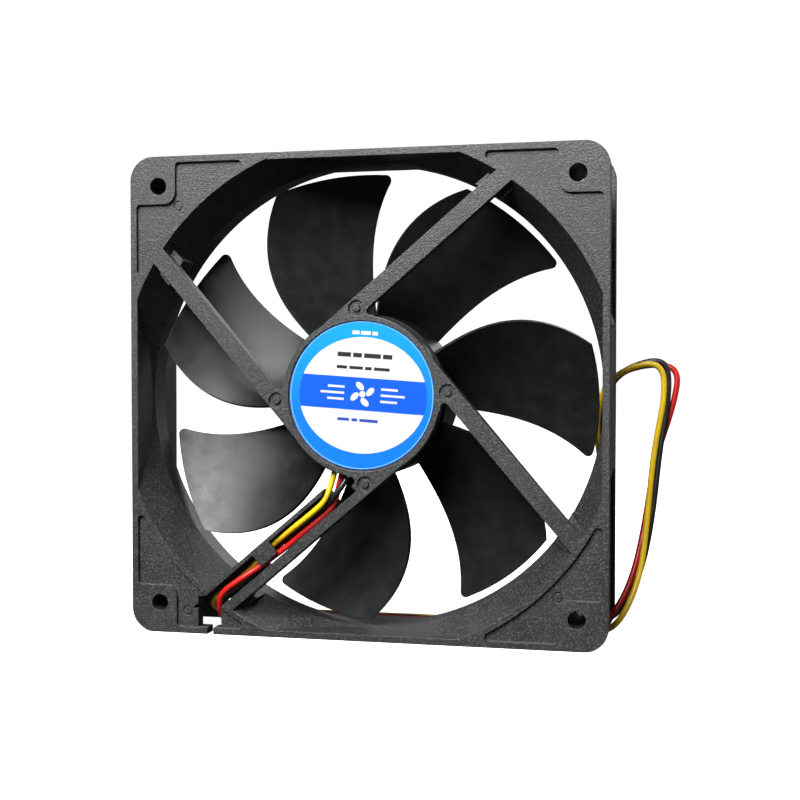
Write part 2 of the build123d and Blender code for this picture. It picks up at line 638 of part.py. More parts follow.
def build_board():
    board = ring(BOARD_RADIUS, TUBE_RADIUS + 0.2, BOARD_REAR, BOARD_FRONT)
    notch = block(BOARD_NOTCH_REACH, BOARD_RADIUS + 2, -BOARD_NOTCH_WIDTH / 2,
                  BOARD_NOTCH_WIDTH / 2, BOARD_REAR - 1, BOARD_FRONT + 1)
    board -= turned(notch, LEAD_ANGLE)
    for radius, angle in PIN_PLACES:
        board -= around(disc(PIN_RADIUS + PIN_FIT, BOARD_REAR - 1, BOARD_FRONT + 1), radius, angle)
    return board


def on_board(size, inset, angle, turn=0, shift=(0, 0)):
    """Component body standing on the rotor side of the board."""
    height = size[2]
    body = Pos(*shift, BOARD_REAR - height / 2) * Rot(0, 0, turn) * Box(*size)
    return around(body, BOARD_RADIUS - inset, angle)


def build_hall_sensor():
    """Flat sensor standing by the magnet, on three legs."""
    sensor = on_board(HALL_BODY, HALL_INSET, HALL_ANGLE)
    back = -(HALL_BODY[0] + HALL_LEG[0]) / 2
    for step in (-1, 0, 1):
        shift = (back, step * HALL_LEG_PITCH)
        sensor += on_board(HALL_LEG, HALL_INSET, HALL_ANGLE, shift=shift)
    return sensor


def build_driver_chip():
    chip = on_board(CHIP_BODY, CHIP_INSET, CHIP_ANGLE)
    for side in (-1, 1):
        for row in (-1.5, -0.5, 0.5, 1.5):
            shift = (side * CHIP_LEG_REACH, row * CHIP_LEG_PITCH)
            chip += on_board(CHIP_LEG, CHIP_INSET, CHIP_ANGLE, shift=shift)
    return chip


def build_capacitor():
    return on_board(CAPACITOR_BODY, SMALL_PART_INSET, CAPACITOR_ANGLE, 90)


def build_resistors():
    return [on_board(RESISTOR_BODY, SMALL_PART_INSET, angle, 90) for angle in RESISTOR_ANGLES]


def build_diode():
    return on_board(DIODE_BODY, SMALL_PART_INSET, DIODE_ANGLE, 90)


def build_terminal_pins():
    """Pins from the front insulator, soldered into the board."""
    root = CORE_FRONT + BOBBIN_PLATE
    pin = disc(PIN_RADIUS, root, BOARD_FRONT + PIN_SOLDER)
    return [around(pin, radius, angle) for radius, angle in PIN_PLACES]


def pin_posts():
    """Feet on the front insulator that hold the pins."""
    start = TUBE_RADIUS + CORE_HUB_WALL - PIN_FOOT_BITE
    end = CORE_RADIUS - PIN_INSET + PIN_FOOT_PAST
    half = PIN_FOOT_WIDTH / 2
    foot = block(start, end, -half, half, CORE_FRONT, CORE_FRONT + BOBBIN_PLATE)
    return [turned(foot, angle) for angle in PIN_ANGLES]


def lead_offsets():
    """Side steps of the three leads where they leave the board, left to right."""
    step = BOARD_NOTCH_WIDTH / 2 - LEAD_DIAMETER - LEAD_SIDE_GAP
    return (-step, 0, step)


def build_solder():
    """Solder beads that hold the three lead ends on the board's edge."""
    beads = []
    for offset in lead_offsets():
        bead = block(BOARD_NOTCH_REACH - BEAD_LENGTH, BOARD_NOTCH_REACH, offset - BEAD_WIDTH / 2,
                     offset + BEAD_WIDTH / 2, BOARD_FRONT, BOARD_FRONT + BEAD_HEIGHT)
        beads.append(turned(bead, LEAD_ANGLE))
    return beads


# --- rotor --------------------------------------------------------------------

def build_shaft():
    shaft = disc(SHAFT_RADIUS, YOKE_END, SHAFT_FRONT)
    inside = SHAFT_RADIUS - GROOVE_DEPTH
    return shaft - ring(SHAFT_RADIUS + 1, inside, GROOVE_REAR, GROOVE_REAR + GROOVE_WIDTH)


def build_retaining_ring():
    """Open ring in the shaft's groove that keeps the rotor on."""
    low = GROOVE_REAR
    inside = SHAFT_RADIUS - GROOVE_DEPTH
    clip = ring(BEARING_RADIUS - GROOVE_DEPTH, inside, low, low + GROOVE_WIDTH)
    gap = CLIP_OPENING / 2
    return clip - block(0, BEARING_RADIUS, -gap, gap, low - 1, low + 2)


def build_shaft_boss():
    boss = ring(BOSS_RADIUS, SHAFT_RADIUS, YOKE_END, YOKE_END + BOSS_LENGTH)
    rim = boss.edges().filter_by(GeomType.CIRCLE).group_by(Axis.Z)[-1].sort_by(SortBy.RADIUS)[-1:]
    return chamfer(rim, BOSS_BEVEL)


def build_yoke():
    """Drawn steel cup that carries the magnet."""
    cup = ring(YOKE_RADIUS, YOKE_RADIUS - YOKE_WALL, YOKE_END, YOKE_FRONT)
    return cup + ring(YOKE_RADIUS, BOSS_RADIUS, YOKE_END, YOKE_END + YOKE_WALL)


def build_magnet():
    return ring(MAGNET_RADIUS, MAGNET_RADIUS - MAGNET_WALL, MAGNET_REAR, MAGNET_FRONT)


def through_three(values, share):
    """Curve through three values at shares 0, a half and 1."""
    root, middle, tip = values
    bend = 2 * root - 4 * middle + 2 * tip
    return root + (tip - root - bend) * share + bend * share ** 2


def edge_point(share, angles, heights, mean_angle):
    """Along, across and height of a blade edge, at a share of the way to the tip."""
    radius = HUB_RADIUS + (TIP_RADIUS - HUB_RADIUS) * share
    angle = math.radians(through_three(angles, share) - mean_angle)
    height = through_three(heights, share)
    return radius * math.cos(angle), radius * math.sin(angle), height


def edge_at(along, angles, heights, mean_angle):
    """The blade edge's across place and height where it crosses a section plane."""
    low, high = -0.6, 1.4
    for _ in range(40):
        middle = (low + high) / 2
        if edge_point(middle, angles, heights, mean_angle)[0] < along:
            low = middle
        else:
            high = middle
    _, across, height = edge_point(low, angles, heights, mean_angle)
    return Vector(across, height)


def blade_section(along, mean_angle):
    """Closed outline of a blade in the plane at one distance along it."""
    tail = edge_at(along, TRAILING_ANGLES, TRAILING_HEIGHTS, mean_angle)
    nose = edge_at(along, LEADING_ANGLES, LEADING_HEIGHTS, mean_angle)
    chord = nose - tail
    normal = Vector(chord.Y, -chord.X).normalized()
    if normal.Y > 0:
        normal = -normal

    def at(share, side):
        """Point of the outline; side is +1 on the hollow face and -1 on the full one."""
        camber = BLADE_CAMBER * 4 * share * (1 - share)
        ends = BLADE_EDGE + (BLADE_NOSE - BLADE_EDGE) * share
        thick = ends + (BLADE_MIDDLE - ends) * 4 * share * (1 - share)
        flat = tail + chord * share + normal * (camber - side * thick / 2)
        return Vector(along, flat.X, flat.Y)

    shares = (0, 0.25, 0.5, 0.75, 1)
    hollow = Spline(*[at(share, 1) for share in shares])
    full = Spline(*[at(share, -1) for share in shares])
    return Wire([hollow, Line(hollow @ 1, full @ 1), full, Line(full @ 0, hollow @ 0)])


def leading_tip():
    """The corner between a blade's leading edge and its tip."""
    angle = math.radians(LEADING_ANGLES[-1])
    return Vector(TIP_RADIUS * math.cos(angle), TIP_RADIUS * math.sin(angle), LEADING_HEIGHTS[-1])


def build_blade():
    """One blade, lofted through parallel sections and trimmed to hub and tip."""
    inner = HUB_RADIUS - HUB_WALL / 2
    first = inner * SECTION_START
    step = (TIP_RADIUS + SECTION_PAST - first) / (BLADE_SECTIONS - 1)
    places = [first + step * index for index in range(BLADE_SECTIONS)]
    blade = Solid.make_loft([blade_section(place, BLADE_ANGLE) for place in places])
    blade = turned(blade, BLADE_ANGLE)
    blade &= ring(TIP_RADIUS, inner, HUB_REAR + BLADE_RISE, HUB_FRONT)
    corner = leading_tip()
    edge = blade.edges().sort_by(lambda item: (item.center() - corner).length)[0]
    return fillet(edge, TIP_CORNER_ROUND)


def build_impeller():
    cup = disc(HUB_RADIUS, HUB_REAR, HUB_FRONT)
    cup = fillet(cup.edges().group_by(Axis.Z)[0], HUB_ROUND)
    blade = build_blade()
    for index in range(BLADE_COUNT):
        cup += turned(blade, -360 / BLADE_COUNT * index)
    return cup - disc(YOKE_RADIUS, YOKE_END, HUB_FRONT + 1)


# --- leads and plug -----------------------------------------------------------

def bend_radii(route):
    """Bend at each corner: as large as its two runs allow."""
    radii = []
    for before, corner, after in zip(route, route[1:], route[2:]):
        run_in = Vector(*corner) - Vector(*before)
        run_out = Vector(*after) - Vector(*corner)
        half_turn = math.radians(run_in.get_angle(run_out) / 2)
        shorter = min(run_in.length, run_out.length)
        radii.append(LEAD_BEND_SHARE * shorter / math.tan(half_turn))
    return radii


def fitted(route):
    """The route moved with the frame's two faces when the frame's depth changes."""
    deeper = (FRAME_DEPTH - ROUTE_DEPTH) / 2
    return [(x, y + deeper * max(-1, min(1, y / FACE_REACH)), z) for x, y, z in route]


def build_lead(name, route):
    """Insulated lead along its route, in the standing frame."""
    places = fitted(route)
    radii = bend_radii(places)
    path = FilletPolyline(*places, radius=radii)
    section = Plane(origin=path @ 0, z_dir=path % 0) * Circle(LEAD_DIAMETER / 2)
    lead = sweep(section, path=path)
    share = lead.volume / (math.pi * LEAD_DIAMETER ** 2 / 4 * path.length)
    print(name, "length", round(path.length, 1), "volume share", round(share, 4))
    print(name, "bend radii", [round(radius, 1) for radius in radii])
    return lead


def plug_cavities():
    """Middle of each lead's cavity across the plug."""
    return [PLUG_MIDDLE_Y + step * PLUG_PITCH for step in (-1, 0, 1)]


def build_plug():
    """Three-way crimp housing lying flat, its mouth towards -X."""
    length, width, height = PLUG_SIZE
    left = PLUG_REAR - length
    y0 = PLUG_MIDDLE_Y - width / 2
    y1 = PLUG_MIDDLE_Y + width / 2
    body = block(left, PLUG_REAR, y0, y1, 0, height)
    body = chamfer(body.edges().filter_by(Axis.X), PLUG_BEVEL)
    middle = height / 2
    start, end, opening = WINDOW
    for y in plug_cavities():
        body -= block(left - 1, PLUG_REAR + 1, y - CAVITY / 2, y + CAVITY / 2,
                      middle - CAVITY / 2, middle + CAVITY / 2)
        body -= block(left + start, left + end, y - opening / 2, y + opening / 2,
                      middle, height + 1)
    front, rear, wide, proud = RIB
    for y in (y0 + RIB_INSET, y1 - RIB_INSET):
        body += block(left + front, PLUG_REAR - rear, y - wide / 2, y + wide / 2,
                      height - 0.1, height + proud)
    return body


def build_terminals():
    """Crimp terminals in the plug's cavities."""
    length, _, height = PLUG_SIZE
    middle = height / 2
    start = PLUG_REAR - length + TERMINAL_START
    end = PLUG_REAR - LEAD_INSERTION
    half_bore = TERMINAL_BORE / 2
    terminals = []
    for y in plug_cavities():
        shell = block(start, end, y - TERMINAL / 2, y + TERMINAL / 2,
                      middle - TERMINAL / 2, middle + TERMINAL / 2)
        bore = block(start - 1, end - TERMINAL_FLOOR, y - half_bore, y + half_bore,
                     middle - half_bore, middle + half_bore)
        terminals.append(shell - bore)
    return terminals


def write(name, shape, standing=False):
    """Write one node; a list of separate solids becomes one group."""
    solids = shape if isinstance(shape, list) else [shape]
    placed = solids if standing else [stand_up(solid) for solid in solids]
    loose = [solid for item in placed for solid in item.solids()]
    node = loose[0] if len(loose) == 1 else Compound(children=loose)
    node.label = name
    export_step(node, f"parts/{name}.step")


def build_all():
    os.makedirs("parts", exist_ok=True)
    write("frame", build_frame())
    write("sleeve_bearing", build_sleeve_bearing())
    write("oil_seal", build_oil_seal())
    write("thrust_washer", build_thrust_washer())
    write("bearing_plug", build_bearing_plug())
    write("base_label", build_label())
    write("stator_core", build_stator_core())
    front_bobbin = build_bobbin(CORE_FRONT, 1)
    for post in pin_posts():
        front_bobbin += post
    write("front_bobbin", front_bobbin)
    write("rear_bobbin", build_bobbin(CORE_REAR, -1))
    write("stator_coils", build_coils())
    write("terminal_pins", build_terminal_pins())
    write("circuit_board", build_board())
    write("hall_sensor", build_hall_sensor())
    write("driver_chip", build_driver_chip())
    write("capacitor", build_capacitor())
    write("resistors", build_resistors())
    write("diode", build_diode())
    write("lead_solder", build_solder())
    write("impeller", build_impeller())
    write("rotor_yoke", build_yoke())
    write("magnet_ring", build_magnet())
    write("shaft", build_shaft())
    write("shaft_boss", build_shaft_boss())
    write("retaining_ring", build_retaining_ring())
    write("lead_yellow", build_lead("yellow", YELLOW_ROUTE), standing=True)
    write("lead_red", build_lead("red", RED_ROUTE), standing=True)
    write("lead_black", build_lead("black", BLACK_ROUTE), standing=True)
    write("plug_housing", build_plug(), standing=True)
    write("plug_terminals", build_terminals(), standing=True)


build_all()
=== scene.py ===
import bmesh
import bpy
import math
from mathutils import Matrix, Vector


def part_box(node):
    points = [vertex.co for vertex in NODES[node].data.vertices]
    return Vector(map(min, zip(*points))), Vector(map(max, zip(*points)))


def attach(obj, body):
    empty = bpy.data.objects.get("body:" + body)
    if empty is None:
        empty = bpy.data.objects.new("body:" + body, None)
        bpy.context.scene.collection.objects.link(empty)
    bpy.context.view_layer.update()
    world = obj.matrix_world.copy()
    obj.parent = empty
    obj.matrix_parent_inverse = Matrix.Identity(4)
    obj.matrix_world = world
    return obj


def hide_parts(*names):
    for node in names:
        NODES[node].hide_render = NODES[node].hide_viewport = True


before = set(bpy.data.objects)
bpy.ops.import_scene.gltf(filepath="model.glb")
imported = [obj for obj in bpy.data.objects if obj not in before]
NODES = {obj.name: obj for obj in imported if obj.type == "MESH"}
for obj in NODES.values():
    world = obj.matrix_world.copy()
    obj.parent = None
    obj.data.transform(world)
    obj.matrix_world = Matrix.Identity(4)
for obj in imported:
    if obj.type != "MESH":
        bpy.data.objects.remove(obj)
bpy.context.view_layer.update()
MM = 0.001

# --- camera -------------------------------------------------------------------

CAMERA_PLACE = (0.0788, -0.3134, 0.0672)
CAMERA_YAW = 12.9
CAMERA_PITCH = -1.49
CAMERA_LENS = 57.52
SENSOR_WIDTH = 36.0
NEAREST_SEEN = 0.01


def make_camera():
    data = bpy.data.cameras.new("camera")
    data.lens = CAMERA_LENS
    data.sensor_width = SENSOR_WIDTH
    data.clip_start = NEAREST_SEEN
    camera = bpy.data.objects.new("camera", data)
    camera.location = CAMERA_PLACE
    camera.rotation_euler = (math.radians(90 + CAMERA_PITCH), 0, math.radians(CAMERA_YAW))
    bpy.context.scene.collection.objects.link(camera)
    bpy.context.scene.camera = camera


make_camera()

# --- leads --------------------------------------------------------------------

LEAD_DIAMETER = 0.0015
LEAD_SPAN_STEPS = 8
LEAD_ROUND_STEPS = 5

YELLOW_ROUTE = [
    (-5.6, -9.4, 47.7), (-7.4, -9.3, 41.2), (-9.0, -11.4, 34.3), (-13.1, -11.4, 30.7),
    (-18.6, -11.4, 26.4), (-24.2, -10.1, 22.1), (-29.0, -8.8, 16.9), (-34.5, -8.6, 12.3),
    (-39.9, -8.7, 8.1), (-41.7, -2.4, 5.0), (-41.8, 4.6, 2.8), (-41.3, 11.6, 1.3),
    (-37.9, 16.3, 0.9), (-29.0, 17.3, 0.85), (-14.0, 16.9, 0.85), (4.0, 17.1, 0.85),
    (22.0, 16.9, 0.85), (37.0, 17.5, 0.85), (48.0, 16.2, 0.9), (52.9, 10.6, 0.95),
    (56.4, 5.0, 0.95), (61.9, 3.8, 4.3), (66.5, 8.0, 15.2), (68.0, 11.2, 30.0),
    (69.3, 13.4, 46.0), (72.2, 14.7, 60.6), (71.0, 15.2, 68.6), (62.0, 15.2, 66.9),
    (56.0, 14.9, 61.2), (54.8, 14.9, 51.0), (56.4, 14.8, 40.4), (54.8, 15.2, 28.6),
    (50.6, 17.0, 15.8), (48.6, 20.4, 5.4), (43.6, 22.4, 2.5), (38.0, 22.46, 2.45),
]
RED_ROUTE = [
    (-3.7, -9.4, 47.1), (-4.6, -9.2, 43.6), (-6.0, -8.8, 39.9), (-7.5, -8.6, 33.4),
    (-9.8, -9.2, 30.6), (-14.8, -9.8, 26.5), (-20.1, -9.8, 22.0), (-26.2, -10.2, 17.4),
    (-32.0, -11.9, 13.6), (-36.9, -11.9, 9.9), (-37.6, -9.0, 4.0), (-37.8, -2.6, 2.2),
    (-38.0, 4.2, 1.3), (-37.6, 10.8, 1.0), (-33.6, 13.7, 0.85), (-24.5, 13.8, 0.85),
    (-9.0, 13.6, 0.85), (9.0, 13.8, 0.85), (26.0, 13.7, 0.85), (38.5, 14.1, 0.85),
    (46.4, 12.9, 0.9), (50.4, 8.2, 0.95), (54.6, 4.0, 2.4), (59.6, 4.6, 5.2),
    (64.2, 8.4, 13.6), (67.0, 13.4, 26.0), (69.2, 16.6, 42.4), (74.4, 17.3, 58.4),
    (75.4, 18.4, 67.2), (67.6, 18.8, 67.9), (59.8, 18.6, 65.4), (56.6, 18.5, 58.0),
    (56.4, 18.5, 49.0), (57.8, 18.6, 39.6), (56.8, 19.2, 28.4), (53.6, 21.6, 16.0),
    (50.8, 25.6, 6.4), (44.4, 27.4, 2.6), (38.0, 27.54, 2.45),
]
BLACK_ROUTE = [
    (-1.8, -9.4, 46.6), (-2.6, -9.3, 43.3), (-4.3, -9.1, 39.9), (-5.8, -10.6, 36.9),
    (-9.4, -9.7, 33.0), (-14.0, -9.6, 29.4), (-19.4, -9.4, 25.0), (-24.1, -8.55, 20.5),
    (-28.6, -8.6, 14.8), (-32.6, -8.6, 11.3), (-37.9, -8.8, 7.5), (-39.6, -2.2, 4.6),
    (-39.8, 4.6, 2.6), (-39.5, 11.2, 1.4), (-36.0, 15.0, 0.9), (-27.0, 15.5, 0.85),
    (-12.0, 15.2, 0.85), (6.0, 15.4, 0.85), (24.0, 15.25, 0.85), (38.0, 15.7, 0.85),
    (46.6, 14.7, 0.9), (50.6, 11.4, 1.2), (53.2, 8.3, 2.9), (57.4, 7.0, 3.6),
    (61.6, 7.2, 6.4), (66.5, 10.4, 15.4), (69.2, 12.6, 29.6), (70.8, 14.4, 46.6),
    (73.2, 16.3, 61.4), (72.2, 16.8, 69.6), (62.6, 16.8, 67.2), (57.2, 16.7, 62.0),
    (55.2, 16.7, 52.0), (57.0, 16.7, 40.8), (55.8, 17.2, 28.6), (52.2, 19.4, 16.0),
    (49.6, 23.0, 6.0), (44.0, 24.9, 2.5), (38.0, 25.0, 2.45),
]
LEADS = {    # route and real length in metres
    "yellow": (YELLOW_ROUTE, 0.340),
    "red": (RED_ROUTE, 0.337),
    "black": (BLACK_ROUTE, 0.334),
}


def make_lead(colour, route):
    """Insulated lead as a smooth curve from the circuit board to the plug."""
    curve = bpy.data.curves.new(f"{colour}_lead", "CURVE")
    curve.dimensions = "3D"
    curve.resolution_u = LEAD_SPAN_STEPS
    curve.bevel_depth = 1.0    # times each point's radius
    curve.bevel_resolution = LEAD_ROUND_STEPS
    curve.use_fill_caps = True
    spline = curve.splines.new("NURBS")
    spline.points.add(len(route) - 1)
    for point, place in zip(spline.points, route):
        point.co = (*(value * MM for value in place), 1)
        point.radius = LEAD_DIAMETER / 2
    spline.order_u = 3
    spline.use_endpoint_u = True
    lead = bpy.data.objects.new(f"{colour}_lead", curve)
    bpy.context.scene.collection.objects.link(lead)
    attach(lead, "root")
    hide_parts(f"lead_{colour}")
    return lead


leads = {colour: make_lead(colour, route) for colour, (route, length) in LEADS.items()}

# --- materials ----------------------------------------------------------------

BEVEL_SAMPLES = 4
FRAME_EDGE_ROUND = 0.22 * MM
BLADE_EDGE_ROUND = 0.2 * MM
FRAME_GRAIN_DEPTH = 0.14 * MM
FINE_GRAIN_DEPTH = 0.03 * MM
MACHINING_DEPTH = 0.02 * MM
PAPER_GRAIN_DEPTH = 0.015 * MM
PRINT_GLOSS = 0.2
PAINTED_SHADE_HEIGHT = 0.056    # heights between which the label's blue is painted paler, standing in for light from above
PAINTED_LIGHT_HEIGHT = 0.08


class Finish:
    """A material under construction, with short ways to add and join its nodes."""

    def __init__(self, name, colour, roughness, metallic=0.0):
        self.material = bpy.data.materials.new(name)
        self.material.use_nodes = True
        self.tree = self.material.node_tree
        self.shader = self.tree.nodes["Principled BSDF"]
        self.shader.inputs["Base Color"].default_value = (*colour, 1)
        self.shader.inputs["Roughness"].default_value = roughness
        self.shader.inputs["Metallic"].default_value = metallic
        self.material.diffuse_color = (*colour, 1)
        self.place = self.add("ShaderNodeTexCoord").outputs["Object"]
        self.normal = None

    def add(self, kind, **values):
        node = self.tree.nodes.new(kind)
        for name, value in values.items():
            setattr(node, name, value)
        return node

    def join(self, source, target):
        self.tree.links.new(source, target)

    def stretched(self, scale):
        """Object coordinates, stretched by a scale along each axis."""
        mapping = self.add("ShaderNodeMapping")
        mapping.inputs["Scale"].default_value = scale
        self.join(self.place, mapping.inputs["Vector"])
        return mapping.outputs["Vector"]

    def noise(self, scale, detail=3.0, roughness=0.5, place=None):
        node = self.add("ShaderNodeTexNoise")
        node.inputs["Scale"].default_value = scale
        node.inputs["Detail"].default_value = detail
        node.inputs["Roughness"].default_value = roughness
        self.join(place or self.place, node.inputs["Vector"])
        return node.outputs["Fac"]

    def waves(self, scale, direction, distortion=0.0):
        node = self.add("ShaderNodeTexWave", wave_type="BANDS", bands_direction=direction)
        node.inputs["Scale"].default_value = scale
        node.inputs["Distortion"].default_value = distortion
        self.join(self.place, node.inputs["Vector"])
        return node.outputs["Fac"]

    def cells(self, scale, randomness=1.0):
        node = self.add("ShaderNodeTexVoronoi", feature="F1")
        node.inputs["Scale"].default_value = scale
        node.inputs["Randomness"].default_value = randomness
        self.join(self.place, node.inputs["Vector"])
        return node.outputs["Distance"]

    def ranged(self, source, low, high, to_low=0.0, to_high=1.0):
        """Spread a texture's values from low to high over another range."""
        node = self.add("ShaderNodeMapRange", clamp=True)
        for name, value in (("From Min", low), ("From Max", high),
                            ("To Min", to_low), ("To Max", to_high)):
            node.inputs[name].default_value = value
        self.join(source, node.inputs["Value"])
        return node.outputs["Result"]

    def blended(self, factor, first, second):
        """Colour between two colours, each of them a value or a socket."""
        node = self.add("ShaderNodeMix", data_type="RGBA")
        self.join(factor, node.inputs["Factor"])
        colours = [socket for socket in node.inputs if socket.type == "RGBA"]
        for socket, value in zip(colours, (first, second)):
            if isinstance(value, tuple):
                socket.default_value = (*value, 1)
            else:
                self.join(value, socket)
        return [socket for socket in node.outputs if socket.type == "RGBA"][0]

    def coloured(self, source):
        self.join(source, self.shader.inputs["Base Color"])

    def rough(self, source):
        self.join(source, self.shader.inputs["Roughness"])

    def rounded(self, radius):
        """Soften the look of sharp edges by a small radius."""
        node = self.add("ShaderNodeBevel", samples=BEVEL_SAMPLES)
        node.inputs["Radius"].default_value = radius
        self.normal = node.outputs["Normal"]
        self.join(self.normal, self.shader.inputs["Normal"])

    def bump(self, source, strength, distance):
        node = self.add("ShaderNodeBump")
        node.inputs["Strength"].default_value = strength
        node.inputs["Distance"].default_value = distance
        self.join(source, node.inputs["Height"])
        if self.normal is not None:
            self.join(self.normal, node.inputs["Normal"])
        self.normal = node.outputs["Normal"]
        self.join(self.normal, self.shader.inputs["Normal"])


def frame_plastic():
    """Black moulding with a fine spark-eroded grain, with painted glints: pale specks that stand
    in for light catching the grain, and patches of another shade at random.
    """
    finish = Finish("frame_plastic", (0.014, 0.0145, 0.015), 0.5)
    finish.shader.inputs["Specular IOR Level"].default_value = 0.75
    grain = finish.noise(2500, detail=2.0, roughness=0.6)
    glint_speck = finish.noise(1900, detail=1.0)
    cloud = finish.noise(90, detail=3.0)
    # painted glints: pale specks in the colour stand in for light caught by the grain
    light = finish.ranged(glint_speck, 0.5, 0.72)
    painted_glint_tint = finish.blended(light, (0.01, 0.0105, 0.011), (0.06, 0.061, 0.063))
    finish.coloured(finish.blended(finish.ranged(cloud, 0.5, 0.85, 0.0, 0.4), painted_glint_tint,
                                   (0.03, 0.031, 0.032)))
    finish.rough(finish.ranged(cloud, 0.3, 0.7, 0.44, 0.56))
    finish.rounded(FRAME_EDGE_ROUND)
    finish.bump(grain, 0.8, FRAME_GRAIN_DEPTH)
    return finish.material


def impeller_plastic():
    """Smoother black moulding with a soft orange peel and faint rubbed streaks."""
    finish = Finish("impeller_plastic", (0.009, 0.0095, 0.01), 0.4)
    finish.shader.inputs["Specular IOR Level"].default_value = 0.32
    flow = finish.noise(240, detail=4.0, roughness=0.6)
    fine = finish.noise(1500, detail=2.0)
    streak = finish.noise(700, detail=3.0, place=finish.stretched((1.0, 1.0, 0.25)))
    finish.coloured(finish.blended(finish.ranged(flow, 0.4, 0.8),
                                   (0.007, 0.0075, 0.008), (0.014, 0.0145, 0.015)))
    finish.rough(finish.ranged(flow, 0.3, 0.7, 0.36, 0.46))
    finish.rounded(BLADE_EDGE_ROUND)
    finish.bump(fine, 0.35, FINE_GRAIN_DEPTH)
    finish.bump(streak, 0.25, FINE_GRAIN_DEPTH)
    return finish.material


def plain_plastic(name, colour, roughness=0.45, grain=900, depth=FINE_GRAIN_DEPTH):
    """Moulded piece in one colour, a little uneven in shade and gloss."""
    finish = Finish(name, colour, roughness)
    cloud = finish.noise(120, detail=3.0)
    darker = tuple(value * 0.82 for value in colour)
    finish.coloured(finish.blended(finish.ranged(cloud, 0.3, 0.7), colour, darker))
    finish.rough(finish.ranged(cloud, 0.3, 0.7, roughness - 0.06, roughness + 0.08))
    finish.bump(finish.noise(grain, detail=2.0), 0.4, depth)
    return finish.material


def insulation(name, colour, roughness=0.3):
    """Extruded lead insulation, glossy, with faint drawing marks."""
    finish = Finish(name, colour, roughness)
    cloud = finish.noise(260, detail=3.0)
    darker = tuple(value * 0.75 for value in colour)
    finish.coloured(finish.blended(finish.ranged(cloud, 0.4, 0.8), colour, darker))
    finish.rough(finish.ranged(cloud, 0.3, 0.7, roughness - 0.06, roughness + 0.1))
    finish.bump(finish.noise(1600, detail=2.0), 0.25, FINE_GRAIN_DEPTH)
    return finish.material


def metal(name, colour, roughness, stretch, scale=700, depth=MACHINING_DEPTH):
    """Machined, drawn or plated metal with lines stretched along one direction."""
    finish = Finish(name, colour, roughness, metallic=1.0)
    lines = finish.noise(scale, detail=4.0, place=finish.stretched(stretch))
    cloud = finish.noise(180, detail=3.0)
    darker = tuple(value * 0.72 for value in colour)
    finish.coloured(finish.blended(finish.ranged(cloud, 0.35, 0.75), colour, darker))
    finish.rough(finish.ranged(lines, 0.3, 0.7, roughness - 0.08, roughness + 0.12))
    finish.bump(lines, 0.4, depth)
    return finish.material


def banded(name, dark, light, scale, direction, roughness, metallic, depth):
    """Laminated sheets or wound wire: fine bands along one direction."""
    finish = Finish(name, light, roughness, metallic)
    bands = finish.waves(scale, direction)
    cloud = finish.noise(240, detail=3.0)
    stripes = finish.blended(finish.ranged(bands, 0.1, 0.7), dark, light)
    finish.coloured(finish.blended(finish.ranged(cloud, 0.45, 0.8, 0.0, 0.5), stripes, dark))
    finish.rough(finish.ranged(cloud, 0.3, 0.7, roughness - 0.05, roughness + 0.12))
    finish.bump(bands, 0.6, depth)
    return finish.material


def porous(name, colour, roughness, metallic, scale, depth):
    """Sintered bush or felt: small pits or fibres all over."""
    finish = Finish(name, colour, roughness, metallic)
    pits = finish.cells(scale)
    darker = tuple(value * 0.6 for value in colour)
    finish.coloured(finish.blended(finish.ranged(pits, 0.05, 0.6), darker, colour))
    finish.rough(finish.ranged(pits, 0.1, 0.6, roughness + 0.1, roughness - 0.05))
    finish.bump(pits, 0.5, depth)
    return finish.material


def board_laminate():
    """Green solder mask over copper tracks."""
    finish = Finish("board_laminate", (0.02, 0.16, 0.06), 0.32)
    tracks = finish.waves(160, "DIAGONAL", distortion=3.0)
    edge = finish.ranged(tracks, 0.46, 0.54)
    weave = finish.cells(900, randomness=0.2)
    finish.coloured(finish.blended(edge, (0.012, 0.12, 0.045), (0.03, 0.21, 0.085)))
    finish.rough(finish.ranged(weave, 0.1, 0.6, 0.28, 0.4))
    finish.bump(edge, 0.35, 0.04 * MM)
    finish.bump(weave, 0.2, 0.01 * MM)
    return finish.material


def label_film():
    """Blue print under gloss film, with painted light: the blue is paler towards the top,
    standing in for light falling from above.
    """
    finish = Finish("label_film", (0.0, 0.2, 0.95), 0.5)
    finish.shader.inputs["Specular IOR Level"].default_value = PRINT_GLOSS
    split = finish.add("ShaderNodeSeparateXYZ")
    finish.join(finish.place, split.inputs["Vector"])
    # painted light and shade: the blue is made paler with height, as if lit from above, and
    # deeper low down
    height = finish.ranged(split.outputs["Z"], PAINTED_SHADE_HEIGHT, PAINTED_LIGHT_HEIGHT)
    blue = finish.blended(height, (0.0, 0.15, 0.95), (0.0, 0.3, 0.97))
    paper = finish.noise(900, detail=3.0)
    finish.coloured(finish.blended(finish.ranged(paper, 0.5, 0.9, 0.0, 0.25), blue,
                                   (0.0, 0.24, 0.94)))
    finish.rough(finish.ranged(paper, 0.3, 0.7, 0.45, 0.56))
    finish.bump(paper, 0.25, PAPER_GRAIN_DEPTH)
    return finish.material


def print_ink(name, colour):
    """Printed area of the label, under the same film."""
    finish = Finish(name, colour, 0.5)
    finish.shader.inputs["Specular IOR Level"].default_value = PRINT_GLOSS
    paper = finish.noise(900, detail=3.0)
    darker = tuple(value * 0.93 for value in colour)
    finish.coloured(finish.blended(finish.ranged(paper, 0.35, 0.75), colour, darker))
    finish.rough(finish.ranged(paper, 0.3, 0.7, 0.45, 0.56))
    finish.bump(paper, 0.25, PAPER_GRAIN_DEPTH)
    return finish.material


